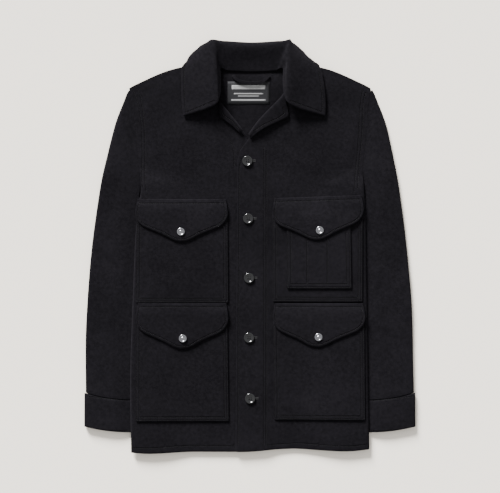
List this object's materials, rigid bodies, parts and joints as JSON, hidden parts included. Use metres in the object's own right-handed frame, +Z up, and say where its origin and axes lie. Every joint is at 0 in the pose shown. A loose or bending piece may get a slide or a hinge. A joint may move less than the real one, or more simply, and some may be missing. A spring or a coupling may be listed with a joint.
{
  "type": "mackinaw jacket",
  "caption": "Heavy dark wool mackinaw jacket laid flat, with a shirt collar, patch pockets under bracket-shaped snap flaps, a buttoned front and band cuffs.",
  "frame": {"origin": "on the floor, under the middle of the jacket's box", "axes": "+X to the wearer's left, +Y from hem to collar, +Z up from the floor through the front"},
  "size_m": [0.6314, 0.7871, 0.0277],
  "materials": {
    "wool": "napped heavy melton wool, near black with a faint grey and plum heather",
    "button": "polished black, rimmed and dished, sewn through four holes",
    "snap": "dark polished nickel ring cap",
    "label": "charcoal woven tape with plain pale bars"
  },
  "bodies": {
    "root": {"back": "wool", "front_right": "wool", "front_left": "wool", "facing_right": "wool", "facing_left": "wool", "collar": "wool", "sleeve_right": "wool", "sleeve_left": "wool", "cuff_right": "wool", "cuff_left": "wool", "upper_pocket_right": "wool", "upper_pocket_left": "wool", "lower_pocket_right": "wool", "lower_pocket_left": "wool", "pencil_pocket": "wool", "upper_flap_right": "wool", "upper_flap_left": "wool", "lower_flap_right": "wool", "lower_flap_left": "wool", "hanger_loop": "wool", "button_1": "button", "button_2": "button", "button_3": "button", "button_4": "button", "button_5": "button", "upper_snap_right": "snap", "upper_snap_left": "snap", "lower_snap_right": "snap", "lower_snap_left": "snap", "neck_label": "label"}
  },
  "joints": []
}
